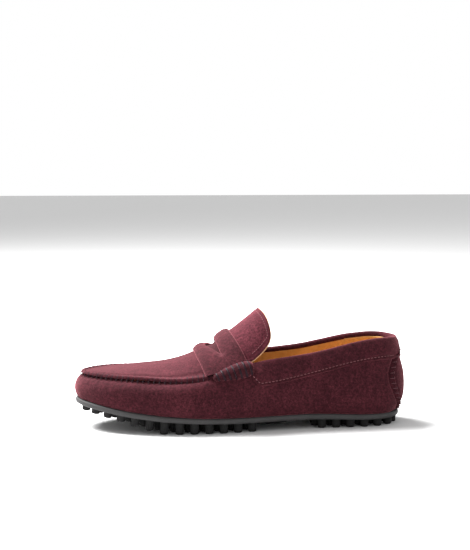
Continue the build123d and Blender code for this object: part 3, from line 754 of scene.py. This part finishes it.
def insole():
    s = np.linspace(0, COUNT, 501)[:-1]
    edge = np.stack([feather_d(s), feather_y(s)], -1) - outward(s)[:, :2] * 1.6
    centre = np.stack(sole_spine(edge[:, 0], 40, 246), -1)
    share = np.linspace(1, 0, 34)
    rings = [centre + (edge - centre) * k for k in share]
    d = np.stack([r[:, 0] for r in rings], 1)
    y = np.stack([r[:, 1] for r in rings], 1)
    z = sole_top(d) + 6.0 + 2.2 * bell(share, 1.0, 0.10)[None, :]
    arch = bell(d, 165, 40) * step(y, -8, 34) * 5.0
    p = place(d, y, z + arch)
    p = p + waves(p, 30, 0.15, 41)[..., None] * np.array([0, 0, 1.0])
    return shell(grid("insole_leather", p, [TAN], wrap_u=True, flip=True, weld=0.02), 1.0)


add_piece(insole(), "shoe", ["sock_liner"])

# ------------------------------------------------------------------ the saddle strap
def strap_edge_y(d, side):
    """Where the seam runs at this d: side -1 lateral, 1 medial."""
    s = np.linspace(5.2, 8.5, 400) if side < 0 else np.linspace(14.5, 17.9, 400)
    ds, ys = top_d(s), top_y(s)
    o = np.argsort(ds)
    return np.interp(d, ds[o], ys[o])


def strap_band(which):
    """One half of the strap, in front of the slot or behind it: where its points are and their lift."""
    nu, nv = 320, 34
    k = np.linspace(0, 1, nv)
    u = np.linspace(-1, 1, nu)
    d = np.full((nu, nv), 120.0)
    for _ in range(6):
        lateral, medial = strap_edge_y(d, -1) - 0.9, strap_edge_y(d, 1) + 0.9
        y = lateral + (medial - lateral) * (u[:, None] + 1) / 2
        if which == "front":
            a, b = strap_front(y), slot_line(y, -1)
        else:
            a, b = slot_line(y, 1), strap_rear(y)
        d = a + (b - a) * k[None, :]
    across = np.linspace(-44, 44, 700)
    free = [instep_off(line, across, 0 * across) for line in (strap_front(across), strap_rear(across))]
    in_slot = np.linspace(STRAP_MID - SLOT_REACH, STRAP_MID + SLOT_REACH, 500)
    free += [instep_off(slot_line(in_slot, side), in_slot, 0 * in_slot) for side in (-1, 1)]
    edge = distance_to(instep_off(d, y, 0 * d), np.concatenate(free))
    rim = np.clip(edge / 1.5, 0, 1)
    return d, y, 0.4 + 2.3 * np.sqrt(1 - (1 - rim) ** 2) + 1.3 * step(edge, 0.6, 5.0)


def strap():
    verts, faces, base = [], [], 0
    for which in ("front", "rear"):
        d, y, lift = strap_band(which)
        top = instep_off(d, y, lift)
        top = top + waves(top, 24, 0.16, 51)[..., None] * np.array([-0.4, 0, 0.9])
        under = instep_off(d, y, 0 * d - 0.6)
        nu, nv = d.shape
        verts.append(np.concatenate([top, under[:, ::-1]], 1).reshape(-1, 3))
        faces += grid_faces(nu, 2 * nv, wrap_v=True, start=base).tolist()
        base += nu * 2 * nv
    # the strap takes the darker copy of the suede: painted shade
    return make("saddle_strap_suede", np.concatenate(verts), faces, [SUEDE_STRAP_PAINTED_SHADE], weld=0.03)


add_piece(strap(), "shoe", ["saddle_strap"])

# ------------------------------------------------------------------ beef rolls and their cords
ROLL_RADII = [4.4, 6.2, 6.8, 6.6, 6.1, 5.4, 4.6, 3.6, 2.4]


def roll_frame(s, rear, front):
    """The roll's middle line, and the directions out of the wall and up."""
    t = drop_t(s, 3.5)
    centre = wall_off(s, t, 0 * s + 0.8)
    run = unit(wall(s + 0.02, t) - wall(s - 0.02, t)) * (1 if front > rear else -1)
    out = wall_normal(s, t)
    up = unit(np.cross(run, out))
    return centre, out, up * np.sign(up[:, 2])[:, None]


def roll_radius(s, rear, front):
    return smooth(np.linspace(0, 1, len(ROLL_RADII)), ROLL_RADII)((s - rear) / (front - rear))


def beef_roll(name, rear, front):
    ns, nw = 220, 56
    s = np.linspace(rear, front, ns)
    centre, out, up = roll_frame(s, rear, front)
    share = (s - rear) / (front - rear)
    near_end = np.clip(np.minimum(share, 1 - share) / 0.05, 0, 1)
    full = np.sqrt(np.clip(1 - (1 - near_end) ** 2, 0, 1))
    w = np.linspace(-math.pi, math.pi, nw, endpoint=False)
    # the suede puffs out between the cords and is pinched under each of them
    turn = 2 * math.pi * ((share[:, None] - LEAN * w / math.pi) * (WRAPS + 0.6) - 0.8)
    pinch = np.clip(np.cos(turn), 0, 1) ** 2
    r = (roll_radius(s, rear, front) * (0.25 + 0.75 * full))[:, None] + full[:, None] * (0.45 - 1.7 * pinch)
    # flat against the wall on the inside
    across = np.maximum(0.80 * r * np.cos(w), -2.3)
    p = centre[:, None] + out[:, None] * across[..., None] + up[:, None] * (r * np.sin(w))[..., None]
    p = p + waves(p, 9, 0.18, 61)[..., None] * unit(p - centre[:, None])
    faces = grid_faces(ns, nw, wrap_v=True).tolist() + end_caps(ns, nw)
    # the roll takes the darker copy of the suede: painted shade
    return make(name, p.reshape(-1, 3), faces, [SUEDE_ROLL_PAINTED_SHADE], weld=0.001)


def cords(name, rear, front):
    paths = []
    w = np.linspace(-0.68 * math.pi, 0.86 * math.pi, 30)
    for k in range(WRAPS):
        share = (k + 0.8) / (WRAPS + 0.6)
        s = rear + (front - rear) * share + LEAN * (front - rear) * w / math.pi
        centre, out, up = roll_frame(s, rear, front)
        r = roll_radius(s, rear, front) - 0.35
        across = np.maximum(0.80 * r * np.cos(w), -1.5)
        paths.append(centre + out * across[:, None] + up * (r * np.sin(w))[:, None])
    return tubes(name, paths, 1.05, CORD_MAT, sides=14, twist=2.6, plies=3)


for side, (rear, front) in ROLL.items():
    add_piece(beef_roll(f"beef_roll_{side}_suede", rear, front), "shoe", [f"beef_roll_{side}"])
    add_piece(cords(f"beef_roll_{side}_cords", rear, front), "shoe", [f"beef_roll_cord_{side}"])

# ------------------------------------------------------------------ the tongue
# half of its free edge: distance behind the toe, and distance from its own middle line
TONGUE_EDGE = [
    (134.0, 35.5), (142.0, 35.8), (149.0, 35.4), (155.2, 33.4), (160.8, 31.0), (165.2, 28.5),
    (167.0, 25.8), (166.1, 21.5), (163.8, 16.0), (161.2, 9.5), (159.6, 4.0), (159.2, 0.0),
]
TONGUE_MID = -2.0


def tongue_outline(count, inset=0.0):
    """The free edge from the outer side to the inner side, moved in by inset."""
    half = [(d, -w) for d, w in TONGUE_EDGE]
    pts = np.array(half + [(d, -y) for d, y in half[-2::-1]])
    k = np.arange(len(pts))
    edge_d, edge_y = smooth(k, pts[:, 0]), smooth(k, pts[:, 1])
    w = np.linspace(0, k[-1], count)
    d, y = edge_d(w), edge_y(w)
    if inset:
        e = 1e-3
        run = unit(np.stack([edge_d(w + e) - edge_d(w - e), edge_y(w + e) - edge_y(w - e)], -1))
        d, y = d - run[:, 1] * inset, y + run[:, 0] * inset
    return d, y + TONGUE_MID


def tongue():
    # columns run from a base line under the strap to the free edge, closer together near the edge
    levels = np.concatenate([np.linspace(0, 0.93, 44), np.linspace(0.945, 1, 12)])
    edge_d, edge_y = tongue_outline(300)
    base_y = (edge_y - TONGUE_MID) * 0.98 + TONGUE_MID
    base_d = np.minimum(strap_rear(base_y) - 5.0, edge_d - 0.5)
    d = base_d[:, None] + (edge_d - base_d)[:, None] * levels[None, :]
    y = base_y[:, None] + (edge_y - base_y)[:, None] * levels[None, :]
    fine_d, fine_y = tongue_outline(700)
    from_edge = distance_to(instep_off(d, y, 0 * d), instep_off(fine_d, fine_y, 0 * fine_d))
    # a rounded edge, then a faint groove at the stitch row and a slight swell inside it
    lift = -0.5 + 0.75 * np.sqrt(1 - (1 - np.clip(from_edge / 1.1, 0, 1)) ** 2)
    lift = lift - 0.16 * bell(from_edge, 2.7, 0.7) + 0.25 * step(from_edge, 2.8, 7)
    top = instep_off(d, y, lift)
    top = top + (waves(top, 30, 0.30, 71) * step(from_edge, 3, 10))[..., None] * np.array([-0.5, 0, 0.85])
    under = instep_off(d, y, 0 * d - 1.9)
    face = np.concatenate([top, under[:, ::-1]], 1)
    # the lining runs on a little under the strap
    d = np.where(levels[None, :] == 0, d - 4.5, d)
    back = np.concatenate([instep_off(d, y, 0 * d - 2.0), instep_off(d, y, 0 * d - 3.1)[:, ::-1]], 1)
    # the tongue's suede is the lighter copy of the suede: painted light
    return (grid("tongue_suede", face, [SUEDE_TONGUE_PAINTED_LIGHT], wrap_v=True, weld=0.01),
            grid("tongue_lining_leather", back, [TAN, TAN_EDGE], wrap_v=True, weld=0.01))


def tongue_cut_edge():
    """The pale cut edge that shows between the tongue's suede and its lining."""
    d, y = tongue_outline(420, -0.25)
    return tubes("tongue_cut_edge", [instep_off(d, y, 0 * d - 1.55)], 0.42, TAN_EDGE)


def stitch_paths(centres, runs, length, ups, hump=0.18):
    """Short arched stitches at these places, along these directions."""
    w = np.linspace(-1, 1, 5)
    arch = (hump * (1 - w**2) - 0.08)[:, None]
    along = (w * length / 2)[:, None]
    return [centre[None] + run[None] * along + up[None] * arch for centre, run, up in zip(centres, runs, ups)]


def even(points, pitch):
    """Evenly spaced places along a polyline, with its direction at each."""
    lengths = lengths_along(points)
    at = np.arange(pitch / 2, lengths[-1], pitch)

    def point(where):
        return np.stack([np.interp(where, lengths, points[:, i]) for i in range(3)], -1)

    return point(at), unit(point(at + 0.3) - point(at - 0.3))


def tongue_stitch_row():
    d, y = tongue_outline(900, 2.7)
    row = instep_off(d, y, 0 * d + 0.30)[d > 150]
    centres, runs = even(row, 2.3)
    ups = np.tile(np.array([-0.5, 0, 0.85]), (len(centres), 1))
    return tubes("tongue_stitch_row", stitch_paths(centres, runs, 1.5, ups), 0.26, THREAD_LIGHT, sides=6)


def add_bending_piece(ob, nodes):
    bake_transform(ob)
    if nodes:
        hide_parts(*nodes)


tongue_face, tongue_back = tongue()
cut_edge = tongue_cut_edge()
stitch_row = tongue_stitch_row()
add_bending_piece(tongue_face, ["tongue"])
add_bending_piece(tongue_back, ["tongue_lining"])
add_bending_piece(cut_edge, [])
add_bending_piece(stitch_row, ["tongue_stitch"])


# ------------------------------------------------------------------ hand stitches
def moccasin_stitches():
    """Each stitch comes out of the wall, goes up over the plug's lip and down into the plug."""
    stitches = []
    first, last = arc(6.66), arc(16.02)
    for length in np.arange(first + SEAM_PITCH / 2, last, SEAM_PITCH):
        s = np.array(float(s_at(length)))
        edge = np.array([float(top_d(s)), float(top_y(s))])
        mid_d, mid_y = plug_spine(s)
        inward = unit(np.array([float(mid_d), float(mid_y)]) - edge)
        path = [wall_off(s, drop_t(s, drop), np.array(out)) for drop, out in ((3.3, -0.9), (2.2, 0.35))]
        for inset, lift in ((-2.25, -0.9), (-1.9, 0.35), (-0.6, 0.95), (1.3, 0.45), (2.4, -0.4)):
            d, y = edge + inward * inset
            path.append(instep_off(np.array(d), np.array(y), np.array(lift)))
        stitches.append(np.array(path))
    return tubes("moc_seam_stitches", stitches, 0.36, THREAD, sides=7)


def heel_stitches(name, side):
    """Stitches that arch over the ridge of the heel patch's seam."""
    stitches = []
    for height in np.arange(15.2, 64.0, HEEL_PITCH):
        t = np.array((height - 11.5) / 64.2)
        s = leaf_edge(t, side)
        stretch = float(mm_per_station(side * s, t))
        lift = float(over_band((1 - t) * wall_height(s)))
        path = []
        for reach, arch in ((-2.3, 0.3), (-1.4, 1.75), (-0.4, 2.75), (0.7, 2.75), (1.8, 1.6), (2.7, 0.1)):
            at = np.mod(side * (s + reach / stretch), COUNT)
            path.append(wall_off(at, t, np.array(0.8 * arch + lift - 0.5)))
        stitches.append(np.array(path))
    return tubes(f"heel_seam_stitches_{name}", stitches, 0.34, THREAD_DULL, sides=7)


add_piece(moccasin_stitches(), "shoe", ["moc_seam_thread"])
for name, side in (("lateral", 1), ("medial", -1)):
    add_piece(heel_stitches(name, side), "shoe", [f"heel_seam_thread_{name}"])


# ------------------------------------------------------------------ collar machine stitches
def collar_stitches(name, start, end):
    s = np.linspace(start, end, 1200)
    row = wall_off(s, drop_t(s, STITCH_DROP + collar_sag(s)), 0 * s + 0.46)
    centres, runs = even(row, COLLAR_PITCH)
    at = s[np.linspace(0, len(s) - 1, len(centres)).astype(int)]
    ups = wall_normal(at, drop_t(at, STITCH_DROP))
    paths = stitch_paths(centres, runs, 2.2, ups, 0.3)
    return tubes(f"collar_stitches_{name}", paths, 0.34, THREAD_LIGHT, sides=6)


for name, start, end in (("lateral", 1.22, 5.62), ("medial", 17.06, COUNT - 1.22)):
    add_piece(collar_stitches(name, start, end), "shoe", [f"collar_stitch_{name}"])

# ------------------------------------------------------------------ the rubber sole
# section of the plate's rim: out from the feather edge, and drop below the sole's top face
RIM_PROFILE = [
    (-7.0, 0.0), (-3.0, 0.0), (-0.9, 0.0), (0.25, 0.05), (0.95, 0.35), (1.45, 0.95), (1.68, 1.8),
    (1.72, 2.7), (1.62, 3.5), (1.3, 4.15), (0.7, 4.6), (-0.2, 4.78), (-2.0, 4.8), (-8.0, 4.8),
]
PAINTED_SHADE_FROM = 11  # the rim's grey ends at this point of it, and from there on the underside takes the darker copy of the rubber: painted shade
STUD_FOOT = [(0.0, 0.0), (1.2, 0.0), (2.3, 0.02), (2.85, 0.12), (3.25, 0.42), (3.5, 0.95), (3.62, 1.9)]
PAD_D, PAD_Y = 170.0, -3.0  # middle of the plain pad under the waist
PAD_RADII = (17.0, 19.0)  # along the shoe and across it
PAD_PROFILE = [  # share of the radii, and height over the plate's underside
    (0.01, -5.2), (0.8, -5.2), (0.93, -5.1), (0.985, -4.6), (1.0, -3.8), (1.0, -1.0), (1.02, 0.0), (1.02, 1.2),
]


def plate():
    """The sole's plate as a closed grid of rings, and the material of each of its faces."""
    s = np.linspace(0, COUNT, 701)[:-1]
    n = outward(s)
    edge = np.stack([feather_d(s), feather_y(s)], -1)
    spine_d, spine_y = sole_spine(edge[:, 0], 42, 244)

    def ring_at(outer, share, drop):
        d = spine_d + (outer[:, 0] - spine_d) * share
        y = spine_y + (outer[:, 1] - spine_y) * share
        return place(d, y, sole_top(d) - drop)

    first_out, last_out = RIM_PROFILE[0][0], RIM_PROFILE[-1][0]
    rings = [ring_at(edge + n[:, :2] * first_out, k, 0.0) for k in np.linspace(0, 1, 14)[:-1]]
    painted_shade_from = len(rings) + PAINTED_SHADE_FROM
    for out, drop in RIM_PROFILE:
        q = edge + n[:, :2] * out
        rings.append(place(q[:, 0], q[:, 1], sole_top(edge[:, 0]) - drop))
    rings += [ring_at(edge + n[:, :2] * last_out, k, SOLE_PLATE) for k in np.linspace(1, 0, 26)[1:]]
    points = np.stack(rings, 1)
    # faces from there on take the darker rubber: painted shade
    dark = np.zeros((points.shape[0], points.shape[1] - 1), int)
    dark[:, painted_shade_from:] = 1
    return points, dark.reshape(-1).tolist()


def plan_edge(s, inset):
    return np.stack([feather_d(s), feather_y(s)], -1) - outward(s)[..., :2] * inset


def studded(d):
    return any(front < d < rear for front, rear in STUDDED)


def stud_spots():
    """One row of studs along the edge, and crosswise rows inside it."""
    spots = []
    edge = plan_edge(np.linspace(0, COUNT, 2000), 4.2)
    lengths = lengths_along(edge)
    count = round(lengths[-1] / STUD_PITCH)
    for at in (np.arange(count) + 0.5) * lengths[-1] / count:
        d, y = np.interp(at, lengths, edge[:, 0]), np.interp(at, lengths, edge[:, 1])
        if studded(d):
            spots.append((d, y))
    inner_edge = plan_edge(np.linspace(0, COUNT, 300), 15.5)
    for d in np.arange(22.0, 275.0, STUD_PITCH):
        near = inner_edge[np.abs(inner_edge[:, 0] - d) < 4][:, 1]
        if len(near) and studded(d):
            low, high = near.min(), near.max()
            spots += [(d, y) for y in np.linspace(low, high, round((high - low) / STUD_PITCH) + 1)]
    return spots


def turned(profile, foot, ax, ay, up, sides):
    """Rings of a turned shape: radius and height pairs about a foot point."""
    w = np.linspace(0, 2 * math.pi, sides, endpoint=False)
    rings = [foot + up * h + np.outer(np.cos(w) * r, ax) + np.outer(np.sin(w) * r, ay) for r, h in profile]
    return np.array(rings)


def stud(d, y):
    """A stud reaches the floor, or under the toe's rocker stands square to it and stops short."""
    under = float(sole_top(d)) - SOLE_PLATE
    length = min(under, float(np.interp(d, [15.0, 45.0, 78.0], [4.2, 5.6, 10.8])))
    if length > under - 0.05:
        tilt, length = 0.0, under
        foot = np.array([X_TOE + d, Y_MID + y, 0.0])
    else:
        tilt = math.atan2(float(sole_top(d + 0.5) - sole_top(d - 0.5)), 1.0)
        down = np.array([math.sin(tilt), 0, -math.cos(tilt)])
        foot = np.array([X_TOE + d, Y_MID + y, under]) + down * length
    up = np.array([-math.sin(tilt), 0, math.cos(tilt)])
    ax = np.array([math.cos(tilt), 0, math.sin(tilt)])
    ay = np.array([0, 1.0, 0])
    neck = [(3.66, length * 0.6), (3.8, length - 0.7), (4.3, length - 0.05), (4.3, length + 1.2)]
    profile = [(max(r, 0.02), h) for r, h in STUD_FOOT + neck]
    return turned(profile, foot, ax, ay, up, 28)


def waist_pad():
    centre = np.array([X_TOE + PAD_D, Y_MID + PAD_Y, float(sole_top(PAD_D)) - SOLE_PLATE])
    ax, ay, up = np.array([PAD_RADII[0], 0, 0]), np.array([0, PAD_RADII[1], 0]), np.array([0, 0, 1.0])
    return turned(PAD_PROFILE, centre, ax, ay, up, 72)


def sole():
    points, index = plate()
    nu, nv = points.shape[:2]
    verts, faces = [points.reshape(-1, 3)], grid_faces(nu, nv, wrap_u=True).tolist()
    base = nu * nv
    for block in [stud(d, y) for d, y in stud_spots()] + [waist_pad()]:
        rings, sides = block.shape[:2]
        verts.append(block.reshape(-1, 3))
        new = grid_faces(rings, sides, wrap_v=True, start=base).tolist()
        faces += new
        # the studs and the waist pad take the darker rubber: painted shade
        index += [1] * len(new)
        base += rings * sides
    materials = [RUBBER_RIM, RUBBER_PAINTED_SHADE]
    return make("rubber_sole", np.concatenate(verts), faces, materials, index=index, weld=0.01)


add_piece(sole(), "shoe", ["outsole"])

# hidden inner layers keep their CAD solids, finished in their own materials
for node, material in (("insole_board", BOARD), ("footbed_foam", FOAM)):
    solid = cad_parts[node]
    solid.data.materials.clear()
    solid.data.materials.append(material)


# ------------------------------------------------------------------ stage, light and camera
def stage_floor(half_size=6.0):
    floor = bpy.data.meshes.new("floor")
    corners = [(x * half_size, y * half_size, 0) for x, y in ((-1, -1), (1, -1), (1, 1), (-1, 1))]
    floor.from_pydata(corners, [], [(0, 1, 2, 3)])
    pale = Nodes("floor")
    pale.set(Base_Color=(0.56, 0.56, 0.56), Roughness=0.9, Specular_IOR_Level=0.1)
    floor.materials.append(pale.m)
    ob = bpy.data.objects.new("floor", floor)
    bpy.context.scene.collection.objects.link(ob)


def white_world():
    world = bpy.data.worlds.new("studio")
    bpy.context.scene.world = world
    world.use_nodes = True
    background = world.node_tree.nodes["Background"]
    background.inputs["Color"].default_value = (1.0, 1.0, 1.0, 1)
    background.inputs["Strength"].default_value = 1.0


def key_light():
    """A large soft light above, to the toe side and behind."""
    place_at, aim = Vector((-0.66, 0.50, 1.22)), Vector((0, 0, 0.04))
    light = bpy.data.lights.new("key", "AREA")
    light.shape = "RECTANGLE"
    light.size, light.size_y = 0.95, 0.85
    light.energy = 138.0
    ob = bpy.data.objects.new("key", light)
    bpy.context.scene.collection.objects.link(ob)
    ob.location = place_at
    ob.rotation_euler = (aim - place_at).to_track_quat("-Z", "Y").to_euler()


def studio_camera():
    """Low in front of the outer side, and a little round to the toe."""
    camera = bpy.data.cameras.new("camera")
    camera.sensor_width = 36.0
    camera.lens = 85.8
    ob = bpy.data.objects.new("camera", camera)
    bpy.context.scene.collection.objects.link(ob)
    bpy.context.scene.camera = ob
    azimuth, elevation, distance = math.radians(-6.0), math.radians(9.6), 1.150
    level = math.cos(elevation)
    back = Vector((math.sin(azimuth) * level, -math.cos(azimuth) * level, math.sin(elevation)))
    ob.location = Vector((0.0001, 0.0016, 0.045)) + back * distance
    # the camera points a little above the shoe, which stands low in the picture
    downward, turn = 5.382, -5.713
    ob.rotation_euler = (math.radians(90 - downward), 0, math.radians(turn))


stage_floor()
white_world()
key_light()
studio_camera()

bpy.context.scene.view_settings.view_transform = "Standard"
